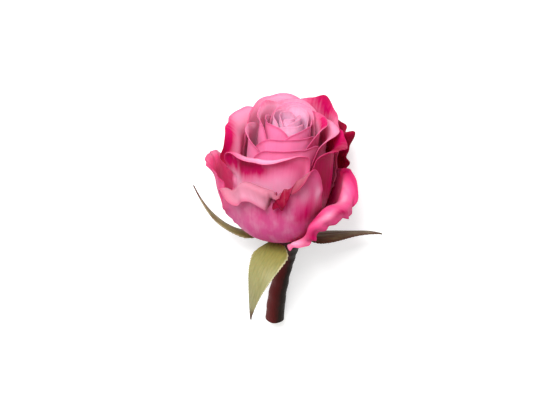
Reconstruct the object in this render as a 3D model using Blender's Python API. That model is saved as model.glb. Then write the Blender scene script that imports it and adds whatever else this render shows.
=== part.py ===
"""A single cut rose with a short stem, lying on its side.

Lengths are millimetres in the tables and metres in the scene.  The flower is first
built upright: petals seated on the hip at the origin, bloom up +Z, front of the
bloom towards -Y.  lay_down() then turns it onto its back petals and stem end.
"""
import math

import bpy
import numpy as np

MM = 0.001

# ---- driving dimensions of the bloom (mm) ----
BLOOM_HEIGHT = 50.0            # petal seat to the tips of the back petals
BELLY_HEIGHT = 27.0            # height at which the petal walls are widest
SEAT_INNER, SEAT_OUTER = 1.2, 7.0    # radius of the petal seats on the hip
SEAT_DOME = 4.0                # the innermost petals sit this much higher
SHELL_INNER, SHELL_OUTER = 2.0, 24.0  # radius range of the nested petal walls
SIDE_BEND, BACK_BEND = 2.5, 2.0      # how far the heart leans from the axis
PETAL_THICKNESS = 0.45

# ---- stem, hip and sepals (mm) ----
# height, centre x, radius of each stem section, from the cut end up to the hip
STEM_SECTIONS = (
    (-47.0, -3.3, 4.0), (-41.0, -2.9, 3.85), (-34.0, -2.2, 3.8), (-26.0, -0.8, 3.5),
    (-19.0, 1.0, 3.1), (-14.0, 2.0, 3.4), (-10.0, 1.6, 4.9), (-6.0, 0.7, 6.4), (-2.6, 0.1, 6.9),
)
HIP_RADIUS = 7.2
SEAT_GAP = 0.55                # petal mid-surface above the dome of the hip
STEM_SIDES = 16
SEPAL_THICKNESS = 0.7
SEPAL_ROWS, SEPAL_COLUMNS = 10, 5

# ---- lying pose ----
LIE_TILT = 18.0                # the stem axis rises by this angle towards the bloom
LIE_ROLL = 2.0                 # spin about the stem axis

# bearings round a petal outline at which its rim is stated; 0 is the tip, negative is
# the side that lies outermost in the whorl
RIM_BEARINGS = (-110.0, -62.0, -34.0, 0.0, 34.0, 62.0, 110.0)

FLAT = (0, 0, 0, 0, 0, 0, 0)
THIN = (0.5, 1, 1, 1, 1, 1, 0.5)
CURL = (0.8, 1.5, 1.5, 1.5, 1.5, 1.5, 0.8)
SOFT = (0, 20, 40, 40, 20, 0, 0)

# name, bearing, wall radius, height of the fold, half wrap (deg), width of the curled rim,
# angle of the curled rim, spiral, squareness of the tip, bumps (bearing, size, width), ruffle, cells
# share of the rim width taken up by the fold itself, where the rest hangs straight
FOLD_SHARE = {"outer_petal_1": 0.5, "outer_petal_2": 0.7}

PETALS = (
    ("outer_petal_1", -13, 23.6, 32.0, 52, (1, 4, 11, 13, 4, 2, 1), (15, 75, 165, 180, 15, 0, 0),
     -1.7, 4.0, ((-57, 3, 8),), 0.3, 12),
    ("outer_petal_2", 67, 23.4, 19, 55, (2, 8, 15, 13, 3, 1, 1), (100, 170, 180, 170, 40, 0, 0),
     -1.8, 4.2, ((-36, 4, 14), (-85, -2, 14), (36, -5, 16)), 0.3, 12),
    ("outer_petal_3", -98, 28, 20.5, 38, (2, 4, 8, 10, 3, 1, 1), (0, 20, 40, 40, 5, 0, 0),
     -5.5, 2.8, (), 0.5, 10),
    ("outer_petal_4", 150, 23.4, 34, 54, (2, 2, 5, 9, 4, 3, 2), (0, 10, 70, 130, 20, 0, 0),
     -1.2, 2.6, (), 0.3, 10),
    ("outer_petal_5", -160, 23.6, 34, 46, (2, 4, 8, 9, 4, 3, 2), (0, 25, 100, 120, 20, 0, 0),
     -1.7, 2.6, (), 0.3, 10),
    ("middle_petal_1", -24, 19.2, 40.5, 51, (1, 3, 11, 7, 4, 2, 1), (0, 30, 90, 140, 60, 0, 0),
     -1.8, 4.2, ((-34, 2.5, 10), (34, 2, 10)), 0.3, 10),
    ("middle_petal_2", 68, 18.9, 39, 50, (1, 1, 4, 8, 3, 1, 1), (0, 0, 40, 125, 20, 0, 0),
     -1.5, 3.4, (), 0.4, 10),
    ("middle_petal_3", -116, 19.0, 38, 48, (1, 3, 6, 11, 13, 2, 1), (0, 30, 60, 88, 95, 20, 0),
     -1.8, 3.0, ((20, 2.5, 8),), 0.3, 10),
    ("middle_petal_4", 146, 19.2, 45.5, 50, (1, 1, 4, 4, 3, 2, 1), (0, 0, 50, 50, 20, 0, 0),
     -1.5, 3.2, ((-6, 2.8, 7),), 0.3, 10),
    ("middle_petal_5", -162, 19.2, 46, 54, (1, 1, 4, 5, 3, 2, 1), (0, 0, 60, 60, 20, 0, 0),
     -1.5, 2.6, (), 0.3, 10),
    ("inner_petal_1", 0, 15.4, 43, 58, (1, 2, 3, 3, 2, 1, 1), (0, 30, 50, 60, 30, 0, 0),
     -1.1, 3.6, ((35, 2.5, 14),), 0.3, 8),
    ("inner_petal_2", 84, 15.2, 41, 54, (1, 1, 3, 8, 2, 1, 1), (0, 0, 30, 95, 10, 0, 0),
     -1.1, 3.0, (), 0.3, 8),
    ("inner_petal_3", 178, 15.4, 47, 58, (1, 2, 3, 3, 2, 1, 1), (0, 30, 40, 40, 20, 0, 0),
     -1.1, 3.0, (), 0.3, 8),
    ("inner_petal_4", -91, 15.4, 41, 58, (1, 1, 2, 4, 3, 1, 1), (0, 0, 30, 60, 30, 0, 0),
     -1.0, 3.4, ((-6, 1.5, 9),), 0.3, 10),
    ("inner_petal_5", 0, 11.9, 46.5, 76, (1, 2, 2, 2, 2, 1, 1), (0, 20, 40, 60, 30, 0, 0),
     -0.9, 4.0, ((-30, -1.5, 14),), 0.3, 8),
    ("inner_petal_6", 100, 11.9, 44.5, 76, (1, 1, 2, 6, 3, 1, 1), (0, 0, 30, 85, 40, 0, 0),
     -0.9, 3.4, (), 0.3, 8),
    ("inner_petal_7", -118, 11.9, 48, 76, (1, 2, 3, 4, 2, 1, 1), (0, 20, 60, 70, 30, 0, 0),
     -0.9, 3.4, ((-5, 2.5, 8),), 0.3, 8),
    ("inner_petal_8", 50, 9.2, 48.5, 78, CURL, SOFT, -0.75, 4.0, (), 0.3, 8),
    ("inner_petal_9", 170, 9.2, 50.5, 78, CURL, SOFT, -0.75, 4.0, (), 0.3, 8),
    ("inner_petal_10", -70, 9.2, 49.5, 78, CURL, SOFT, -0.75, 4.0, (), 0.3, 8),
    ("heart_petal_1", 10, 6.8, 49.5, 82, THIN, FLAT, -0.6, 4.0, (), 0.1, 8),
    ("heart_petal_2", 130, 6.8, 51, 82, THIN, FLAT, -0.6, 4.0, ((15, 1.5, 10),), 0.1, 8),
    ("heart_petal_3", -110, 6.8, 50.5, 82, THIN, FLAT, -0.6, 4.0, (), 0.1, 8),
    ("heart_petal_4", 60, 4.5, 50.5, 105, THIN, FLAT, -0.4, 4.0, (), 0.1, 8),
    ("heart_petal_5", -120, 4.5, 50.5, 105, THIN, FLAT, -0.4, 4.0, (), 0.1, 8),
    ("heart_petal_6", 0, 2.4, 50.5, 120, THIN, FLAT, -0.4, 4.0, (), 0.1, 8),
)

# name, bearing, drift of the bearing towards the tip, twist at base and tip (deg), full width,
# cupping, then four (reach, height) control points of the midrib
SEPALS = (
    ("front_sepal", -20, -6, 0, 25, 16.0, 1.5, ((7.9, -2.2), (20.0, -2.0), (30.0, -5.0), (29.5, -26.0))),
    ("left_sepal", -96, -16, 15, 40, 11.5, 1.2, ((7.9, -2.2), (20.0, -6.0), (31.0, -1.0), (39.5, 11.0))),
    ("right_sepal", 84, 8, -10, -20, 12.0, 1.2, ((7.9, -2.2), (19.0, -4.0), (30.0, 1.0), (40.5, -4.0))),
    ("back_sepal_1", 150, 8, 0, 0, 9.0, 1.0, ((7.9, -2.2), (14.5, -4.0), (15.0, -11.0), (10.0, -22.0))),
    ("back_sepal_2", -152, -8, 0, 0, 9.0, 1.0, ((7.9, -2.2), (14.5, -4.0), (15.0, -11.0), (10.0, -22.0))),
)


def seat_of(shell):
    """Seat radius and seat height of the petal wall with this radius."""
    share = min(max((shell - SHELL_INNER) / (SHELL_OUTER - SHELL_INNER), 0.0), 1.0)
    return SEAT_INNER + (SEAT_OUTER - SEAT_INNER) * share, SEAT_DOME * (1.0 - share ** 2)


def wall_profile(shell):
    """Length, radius and height along a petal wall, from its seat upwards."""
    seat, foot = seat_of(shell)
    height = foot + 1.5 * BLOOM_HEIGHT * np.linspace(0.0, 1.0, 240) ** 1.6
    below = 1.0 - np.clip((height - foot) / (BELLY_HEIGHT - foot), 0.0, 1.0)
    bowl = (1.0 - below ** 2.2) ** 0.55
    above = np.clip((height - BELLY_HEIGHT) / (BLOOM_HEIGHT - BELLY_HEIGHT), 0.0, 1.5)
    radius = seat + (shell - seat) * bowl * (1.0 - 0.05 * above ** 1.5)
    steps = np.hypot(np.diff(radius), np.diff(height))
    return np.concatenate([[0.0], np.cumsum(steps)]), radius, height


def eased(x, stops, values):
    """Smooth steps between the stated values."""
    stops = np.asarray(stops, float)
    values = np.asarray(values, float)
    x = np.clip(x, stops[0], stops[-1])
    i = np.clip(np.searchsorted(stops, x, side="right") - 1, 0, len(stops) - 2)
    t = (x - stops[i]) / (stops[i + 1] - stops[i])
    t = t * t * (3.0 - 2.0 * t)
    return values[i] * (1.0 - t) + values[i + 1] * t


def petal_outline(w, half, low, high, square, bumps, ruffle, seed):
    """Distance from the blade centre to its outline at bearing w."""
    side = np.abs(np.sin(w)) + 1e-9
    up = ((side / half) ** square + (np.maximum(np.cos(w), 0.0) / high) ** square) ** (-1.0 / square)
    claw = 1.12
    down = ((side / half) ** claw + (np.maximum(-np.cos(w), 0.0) / low) ** claw) ** (-1.0 / claw)
    reach = np.where(np.cos(w) >= 0.0, up, down)
    degrees = np.degrees(w)
    for at, size, width in bumps:
        reach = reach + size * np.exp(-((degrees - at) / width) ** 2)
    phases = np.random.default_rng(seed).uniform(0.0, 2.0 * math.pi, 3)
    fade = np.clip(np.cos(w) * 1.5 + 0.6, 0.0, 1.0)
    for k, waves in enumerate((5, 9, 16)):
        reach = reach + fade * ruffle * 0.6 ** k * np.sin(waves * w + phases[k])
    return reach


def petal_surface(petal, seed, cells):
    """Mid-surface of one petal as a square grid of points."""
    name, turn, shell, rise, wrap, widths, curls, spiral, square, bumps, ruffle, _ = petal
    length, radius, height = wall_profile(shell)
    crest = np.interp(rise, height, length)
    low = 0.52 * crest
    high = crest + widths[3] - low
    half = math.radians(wrap) * shell

    def on_wall(a, b):
        r = np.interp(b, length, radius)
        z = np.interp(b, length, height)
        swing = a / np.maximum(r, 1.0)
        r = r + spiral * swing * np.clip(z, 0.3, 1.0)
        t = swing + math.radians(turn)
        bend = (z / BLOOM_HEIGHT) ** 2
        return np.stack([r * np.sin(t) + SIDE_BEND * bend, BACK_BEND * bend - r * np.cos(t), z], -1)

    t = np.linspace(-1.0, 1.0, cells + 1)
    t = np.sign(t) * (1.0 - (1.0 - np.abs(t)) ** 1.5)
    x, y = np.meshgrid(t, t, indexing="ij")
    disc_x = x * np.sqrt(1.0 - y * y / 2.0)
    disc_y = y * np.sqrt(1.0 - x * x / 2.0)
    w = np.arctan2(disc_x, disc_y)
    reach = petal_outline(w, half, low, high, square, bumps, ruffle, seed)
    degrees = np.degrees(w)
    curl = np.radians(eased(degrees, RIM_BEARINGS, curls))
    width = eased(degrees, RIM_BEARINGS, widths) * np.clip(1.0 - (np.abs(degrees) - 115.0) / 50.0, 0.02, 1.0)
    dist = np.hypot(disc_x, disc_y) * reach
    start = np.maximum(reach - width, 0.05 * reach)
    inside = np.minimum(dist, start)
    along_x, along_y = np.sin(w), np.cos(w)
    e = 0.05
    points = on_wall(inside * along_x, low + inside * along_y)
    out = (on_wall((start + e) * along_x, low + (start + e) * along_y)
           - on_wall((start - e) * along_x, low + (start - e) * along_y))
    out /= np.linalg.norm(out, axis=-1, keepdims=True)
    across = (on_wall(inside * along_x + e, low + inside * along_y)
              - on_wall(inside * along_x - e, low + inside * along_y))
    upward = (on_wall(inside * along_x, low + inside * along_y + e)
              - on_wall(inside * along_x, low + inside * along_y - e))
    normal = np.cross(across, upward)
    normal /= np.linalg.norm(normal, axis=-1, keepdims=True) + 1e-12
    over = np.maximum(dist - start, 0.0)
    share = over / np.maximum(reach - start, 1e-6)
    fold = FOLD_SHARE.get(name, 1.0)
    bow = np.zeros(points.shape)
    for k in range(16):
        angle = curl * np.minimum((k + 0.5) / 16.0 * share / fold, 1.0) ** 1.3
        bow += np.cos(angle)[..., None] * out + np.sin(angle)[..., None] * normal
    return points + bow * (over / 16.0)[..., None]


def sepal_surface(sepal):
    """Mid-surface of one sepal: a tapering strip along a curved midrib."""
    name, turn, drift, twist_0, twist_1, width, cup, controls = sepal
    rows = np.linspace(0.0, 1.0, SEPAL_ROWS + 1)
    points = np.zeros((SEPAL_ROWS + 1, SEPAL_COLUMNS, 3))
    c = np.array(controls)

    def midrib(s):
        weights = np.array([(1 - s) ** 3, 3 * s * (1 - s) ** 2, 3 * s * s * (1 - s), s ** 3])
        r, z = weights @ c
        t = math.radians(turn + drift * s)
        return np.array([r * math.sin(t), -r * math.cos(t), z])

    for i, s in enumerate(rows):
        along = midrib(min(s + 0.01, 1.0)) - midrib(max(s - 0.01, 0.0))
        along /= np.linalg.norm(along)
        t = math.radians(turn + drift * s)
        sideways = np.array([math.cos(t), math.sin(t), 0.0])
        sideways -= along * (sideways @ along)
        sideways /= np.linalg.norm(sideways)
        face = np.cross(along, sideways)
        twist = math.radians(twist_0 + (twist_1 - twist_0) * s)
        across = math.cos(twist) * sideways + math.sin(twist) * face
        lift = np.cross(along, across)
        blade = 0.5 * width * (0.45 + 0.55 * math.sin(math.pi * min(s / 0.5, 0.5))) * (1.0 - s ** 1.9)
        blade = max(blade, 0.35)
        for j in range(SEPAL_COLUMNS):
            q = 2.0 * j / (SEPAL_COLUMNS - 1) - 1.0
            sag = cup * q * q * (blade / (0.5 * width))
            points[i, j] = midrib(s) + across * (q * blade) - lift * sag
    return points


def thickened(points, thickness):
    """Closed solid of even thickness about a grid of points: vertices and faces."""
    rows, columns = points.shape[:2]
    normal = np.cross(np.gradient(points, axis=0), np.gradient(points, axis=1))
    normal /= np.linalg.norm(normal, axis=-1, keepdims=True) + 1e-12
    top = (points + normal * thickness / 2.0).reshape(-1, 3)
    under = (points - normal * thickness / 2.0).reshape(-1, 3)
    k = rows * columns
    faces = []
    for i in range(rows - 1):
        for j in range(columns - 1):
            a = i * columns + j
            b = a + columns
            faces += [(a, b, b + 1), (a, b + 1, a + 1), (k + a, k + b + 1, k + b), (k + a, k + a + 1, k + b + 1)]
    ring = [i * columns for i in range(rows)]
    ring += [(rows - 1) * columns + j for j in range(1, columns)]
    ring += [i * columns + columns - 1 for i in range(rows - 2, -1, -1)]
    ring += list(range(columns - 2, 0, -1))
    for i, a in enumerate(ring):
        b = ring[(i + 1) % len(ring)]
        faces += [(b, a, k + a), (b, k + a, k + b)]
    return np.vstack([top, under]), faces


def stem_solid():
    """Stem and hip as one revolved skin whose centre line is slightly bowed."""
    sections = [(z, x, r) for z, x, r in STEM_SECTIONS]
    sections.append((-1.3, 0.0, HIP_RADIUS))
    for shell in (23.6, 19.0, 14.0, 9.0, 5.0):
        seat, foot = seat_of(shell)
        sections.append((foot - SEAT_GAP, 0.0, seat + 0.05))
    rings = []
    for z, x, r in sections:
        for i in range(STEM_SIDES):
            t = 2.0 * math.pi * i / STEM_SIDES
            rings.append((x + r * math.cos(t), r * math.sin(t), z))
    count = len(sections)
    faces = []
    for s in range(count - 1):
        for i in range(STEM_SIDES):
            a = s * STEM_SIDES + i
            b = s * STEM_SIDES + (i + 1) % STEM_SIDES
            faces += [(a, b, b + STEM_SIDES), (a, b + STEM_SIDES, a + STEM_SIDES)]
    low, high = len(rings), len(rings) + 1
    rings.append((sections[0][1], 0.0, sections[0][0]))
    rings.append((0.0, 0.0, seat_of(SHELL_INNER)[1] - SEAT_GAP))
    for i in range(STEM_SIDES):
        j = (i + 1) % STEM_SIDES
        faces.append((low, j, i))
        top = (count - 1) * STEM_SIDES
        faces.append((high, top + i, top + j))
    return np.array(rings), faces


def lay_down(points):
    """Turn upright flower points into the lying pose (still in mm)."""
    roll = math.radians(LIE_ROLL)
    x = points[:, 0] * math.cos(roll) - points[:, 1] * math.sin(roll)
    y = points[:, 0] * math.sin(roll) + points[:, 1] * math.cos(roll)
    z = points[:, 2]
    tilt = math.radians(LIE_TILT)
    return np.stack([x, y * math.sin(tilt) + z * math.cos(tilt), z * math.sin(tilt) - y * math.cos(tilt)], -1)


def make_material(name, colour, roughness):
    material = bpy.data.materials.new(name)
    material.use_nodes = True
    shader = material.node_tree.nodes["Principled BSDF"]
    shader.inputs["Base Color"].default_value = (*colour, 1.0)
    shader.inputs["Roughness"].default_value = roughness
    return material


def add_object(name, points, faces, material):
    """Add one closed body with its faces turned outwards."""
    a = points[[f[0] for f in faces]]
    b = points[[f[1] for f in faces]]
    c = points[[f[2] for f in faces]]
    if np.einsum("ij,ij->i", a, np.cross(b, c)).sum() < 0.0:
        faces = [f[::-1] for f in faces]
    mesh = bpy.data.meshes.new(name)
    mesh.from_pydata((points * MM).tolist(), [], [list(f) for f in faces])
    mesh.update()
    mesh.materials.append(material)
    obj = bpy.data.objects.new(name, mesh)
    bpy.context.scene.collection.objects.link(obj)
    return obj


def solids():
    """Name, points, faces and material key of every piece, in the lying pose."""
    pieces = []
    for seed, petal in enumerate(PETALS, start=12):
        points, faces = thickened(petal_surface(petal, seed, petal[-1]), PETAL_THICKNESS)
        pieces.append((petal[0], lay_down(points), faces, "petal"))
    for sepal in SEPALS:
        points, faces = thickened(sepal_surface(sepal), SEPAL_THICKNESS)
        pieces.append((sepal[0], lay_down(points), faces, "sepal"))
    points, faces = stem_solid()
    pieces.append(("stem", lay_down(points), faces, "stem"))
    everything = np.vstack([piece[1] for piece in pieces])
    low, high = everything.min(axis=0), everything.max(axis=0)
    origin = np.array([(low[0] + high[0]) / 2.0, (low[1] + high[1]) / 2.0, low[2]])
    return [(name, points - origin, faces, kind) for name, points, faces, kind in pieces]


def main():
    for obj in list(bpy.data.objects):
        bpy.data.objects.remove(obj, do_unlink=True)
    materials = {
        "petal": make_material("petal_pink", (0.80, 0.13, 0.30), 0.55),
        "sepal": make_material("sepal_green", (0.28, 0.30, 0.11), 0.6),
        "stem": make_material("stem_brown_green", (0.09, 0.03, 0.02), 0.5),
    }
    for name, points, faces, kind in solids():
        add_object(name, points, faces, materials[kind])


main()
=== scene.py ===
"""A cut pink rose lying on its side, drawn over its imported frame.

The flower is shaped upright in millimetres, with the petals seated on the hip at the
origin, the bloom up +Z and its front towards -Y.  to_world() lays it down where the
frame has it, in metres.
"""
import math

import bpy
import numpy as np
from mathutils import Matrix, Vector


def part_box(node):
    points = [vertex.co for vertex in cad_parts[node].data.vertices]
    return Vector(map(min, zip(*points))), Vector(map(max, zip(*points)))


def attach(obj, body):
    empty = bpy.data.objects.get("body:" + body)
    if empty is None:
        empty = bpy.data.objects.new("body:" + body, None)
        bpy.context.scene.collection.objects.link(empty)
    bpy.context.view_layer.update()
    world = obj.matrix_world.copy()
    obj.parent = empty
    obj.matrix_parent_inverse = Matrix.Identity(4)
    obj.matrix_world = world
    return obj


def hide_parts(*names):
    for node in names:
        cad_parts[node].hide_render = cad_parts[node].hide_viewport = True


bl_info = {
    "name": "Cut rose",
    "version": (1, 0, 0),
    "blender": (4, 5, 0),
    "location": "3D View > Sidebar > Rose",
    "description": "Builds a half-open cut rose petal by petal",
    "category": "Add Mesh",
}

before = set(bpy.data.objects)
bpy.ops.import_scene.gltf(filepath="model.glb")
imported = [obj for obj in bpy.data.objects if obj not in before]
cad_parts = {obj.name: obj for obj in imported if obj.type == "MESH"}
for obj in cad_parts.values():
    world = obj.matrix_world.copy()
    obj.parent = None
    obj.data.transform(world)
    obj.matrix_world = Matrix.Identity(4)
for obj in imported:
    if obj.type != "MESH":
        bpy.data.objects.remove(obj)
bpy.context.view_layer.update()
MM = 0.001

# ---- how the flower is laid out (mm and degrees), as in the frame ----
LIE_TILT, LIE_ROLL = 18.0, 2.0
# radii of the innermost and outermost petal walls, radii of their seats, rise of the seats' dome
SHELL_INNER, SHELL_OUTER = 2.0, 24.0
SEAT_INNER, SEAT_OUTER, SEAT_DOME = 1.2, 7.0, 4.0
# how far the bloom leans to its side and back at its top
SIDE_BEND, BACK_BEND = 2.5, 2.0
# bearings on a petal's outline, from its tip, at which its rim is given
RIM_BEARINGS = (-110.0, -62.0, -34.0, 0.0, 34.0, 62.0, 110.0)
# the rolled rim narrows from this bearing on, over this many degrees
FOLD_END, FOLD_FADE = 115.0, 50.0
# share of the way up its wall at which a petal's outline is centred
BLADE_CENTRE = 0.52
# straight steps that make up a rolled rim, and the short step that directions are taken over
FOLD_STEPS, NUDGE = 16, 0.05
# one unit of a blade map, and about how long a sepal is
MAP_MM, SEPAL_LENGTH = 100.0, 40.0

# ---- the stem (mm) ----
HIP_TOP, HIP_RADIUS = -1.3, 7.2
# how far the hip's dome stays below the petal seats
SEAT_GAP = 0.55
# walls whose seats the hip's dome follows, and the wall and radius of the small flat on its top
DOME_SHELLS = (23.6, 19.0, 14.0, 9.0, 5.0)
DOME_TOP_SHELL, DOME_TOP_RADIUS = 2.5, 0.6
CUT_ROUNDING = 0.15
# relief of the bark, which ends at this height
RIDGE_DEPTH, UNEVEN_DEPTH, RELIEF_TOP = 0.07, 0.05, -3.0
# height, centre x, radius of each stem section, from the cut end up to the hip
STEM_SECTIONS = (
    (-47.0, -3.3, 4.0), (-41.0, -2.9, 3.85), (-34.0, -2.2, 3.8), (-26.0, -0.8, 3.5),
    (-19.0, 1.0, 3.1), (-14.0, 2.0, 3.4), (-10.0, 1.6, 4.9), (-6.0, 0.7, 6.4), (-2.6, 0.1, 6.9),
    (HIP_TOP, 0.0, HIP_RADIUS),
)
CUT_HEIGHT = STEM_SECTIONS[0][0]

# ---- the stage (mm, degrees and watts) ----
FLOOR_SIZE, FLOOR_DROP, FLOOR_GLOW = 6000.0, 0.2, 0.36
# strength of the surround as light, where 1 is white
SKY_LIGHT = 0.66
BLOOM_MIDDLE = (0.0, 0.0, 28.0)
WINDOW_FROM, WINDOW_DISTANCE, WINDOW_WIDTH, WINDOW_WATTS = (-0.2, -0.56, 0.8), 550.0, 260.0, 4.3
# the lens stands this far above the plane across the bloom, and aims beside the hip
LENS_RISE, LENS_DISTANCE, LENS_LENGTH = 35.0, 526.0, 85.0
AIM_RIGHT, AIM_UP = -3.24, 7.29

# ---- the petals ----
# rim widths and curls that several petals share
FLAT = (0, 0, 0, 0, 0, 0, 0)
THIN = (0.5, 1, 1, 1, 1, 1, 0.5)
CURL = (0.8, 1.5, 1.5, 1.5, 1.5, 1.5, 0.8)
SOFT = (0, 20, 40, 40, 20, 0, 0)
# share of the rim width taken up by the fold itself, where the rest hangs straight
FOLD_SHARE = {"outer_petal_1": 0.5, "outer_petal_2": 0.7}

# name, bearing, wall radius, height of the fold, half wrap (deg), width of the curled rim,
# angle of the curled rim, spiral, squareness of the tip, bumps (bearing, size, width), ruffle
PETALS = (
    ("outer_petal_1", -13, 23.6, 32.0, 52, (1, 4, 11, 13, 4, 2, 1), (15, 75, 165, 180, 15, 0, 0),
     -1.7, 4.0, ((-57, 3, 8),), 0.3),
    ("outer_petal_2", 67, 23.4, 19, 55, (2, 8, 15, 13, 3, 1, 1), (100, 170, 180, 170, 40, 0, 0),
     -1.8, 4.2, ((-36, 4, 14), (-85, -2, 14), (36, -5, 16)), 0.3),
    ("outer_petal_3", -98, 28, 20.5, 38, (2, 4, 8, 10, 3, 1, 1), (0, 20, 40, 40, 5, 0, 0),
     -5.5, 2.8, (), 0.5),
    ("outer_petal_4", 150, 23.4, 34, 54, (2, 2, 5, 9, 4, 3, 2), (0, 10, 70, 130, 20, 0, 0),
     -1.2, 2.6, (), 0.3),
    ("outer_petal_5", -160, 23.6, 34, 46, (2, 4, 8, 9, 4, 3, 2), (0, 25, 100, 120, 20, 0, 0),
     -1.7, 2.6, (), 0.3),
    ("middle_petal_1", -24, 19.2, 40.5, 51, (1, 3, 11, 7, 4, 2, 1), (0, 30, 90, 140, 60, 0, 0),
     -1.8, 4.2, ((-34, 2.5, 10), (34, 2, 10)), 0.3),
    ("middle_petal_2", 68, 18.9, 39, 50, (1, 1, 4, 8, 3, 1, 1), (0, 0, 40, 125, 20, 0, 0),
     -1.5, 3.4, (), 0.4),
    ("middle_petal_3", -116, 19.0, 38, 48, (1, 3, 6, 11, 13, 2, 1), (0, 30, 60, 88, 95, 20, 0),
     -1.8, 3.0, ((20, 2.5, 8),), 0.3),
    ("middle_petal_4", 146, 19.2, 45.5, 50, (1, 1, 4, 4, 3, 2, 1), (0, 0, 50, 50, 20, 0, 0),
     -1.5, 3.2, ((-6, 2.8, 7),), 0.3),
    ("middle_petal_5", -162, 19.2, 46, 54, (1, 1, 4, 5, 3, 2, 1), (0, 0, 60, 60, 20, 0, 0),
     -1.5, 2.6, (), 0.3),
    ("inner_petal_1", 0, 15.4, 43, 58, (1, 2, 3, 3, 2, 1, 1), (0, 30, 50, 60, 30, 0, 0),
     -1.1, 3.6, ((35, 2.5, 14),), 0.3),
    ("inner_petal_2", 84, 15.2, 41, 54, (1, 1, 3, 8, 2, 1, 1), (0, 0, 30, 95, 10, 0, 0),
     -1.1, 3.0, (), 0.3),
    ("inner_petal_3", 178, 15.4, 47, 58, (1, 2, 3, 3, 2, 1, 1), (0, 30, 40, 40, 20, 0, 0),
     -1.1, 3.0, (), 0.3),
    ("inner_petal_4", -91, 15.4, 41, 58, (1, 1, 2, 4, 3, 1, 1), (0, 0, 30, 60, 30, 0, 0),
     -1.0, 3.4, ((-6, 1.5, 9),), 0.3),
    ("inner_petal_5", 0, 11.9, 46.5, 76, (1, 2, 2, 2, 2, 1, 1), (0, 20, 40, 60, 30, 0, 0),
     -0.9, 4.0, ((-30, -1.5, 14),), 0.3),
    ("inner_petal_6", 100, 11.9, 44.5, 76, (1, 1, 2, 6, 3, 1, 1), (0, 0, 30, 85, 40, 0, 0),
     -0.9, 3.4, (), 0.3),
    ("inner_petal_7", -118, 11.9, 48, 76, (1, 2, 3, 4, 2, 1, 1), (0, 20, 60, 70, 30, 0, 0),
     -0.9, 3.4, ((-5, 2.5, 8),), 0.3),
    ("inner_petal_8", 50, 9.2, 48.5, 78, CURL, SOFT, -0.75, 4.0, (), 0.3),
    ("inner_petal_9", 170, 9.2, 50.5, 78, CURL, SOFT, -0.75, 4.0, (), 0.3),
    ("inner_petal_10", -70, 9.2, 49.5, 78, CURL, SOFT, -0.75, 4.0, (), 0.3),
    ("heart_petal_1", 10, 6.8, 49.5, 82, THIN, FLAT, -0.6, 4.0, (), 0.1),
    ("heart_petal_2", 130, 6.8, 51, 82, THIN, FLAT, -0.6, 4.0, ((15, 1.5, 10),), 0.1),
    ("heart_petal_3", -110, 6.8, 50.5, 82, THIN, FLAT, -0.6, 4.0, (), 0.1),
    ("heart_petal_4", 60, 4.5, 50.5, 105, THIN, FLAT, -0.4, 4.0, (), 0.1),
    ("heart_petal_5", -120, 4.5, 50.5, 105, THIN, FLAT, -0.4, 4.0, (), 0.1),
    ("heart_petal_6", 0, 2.4, 50.5, 120, THIN, FLAT, -0.4, 4.0, (), 0.1),
)

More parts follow.
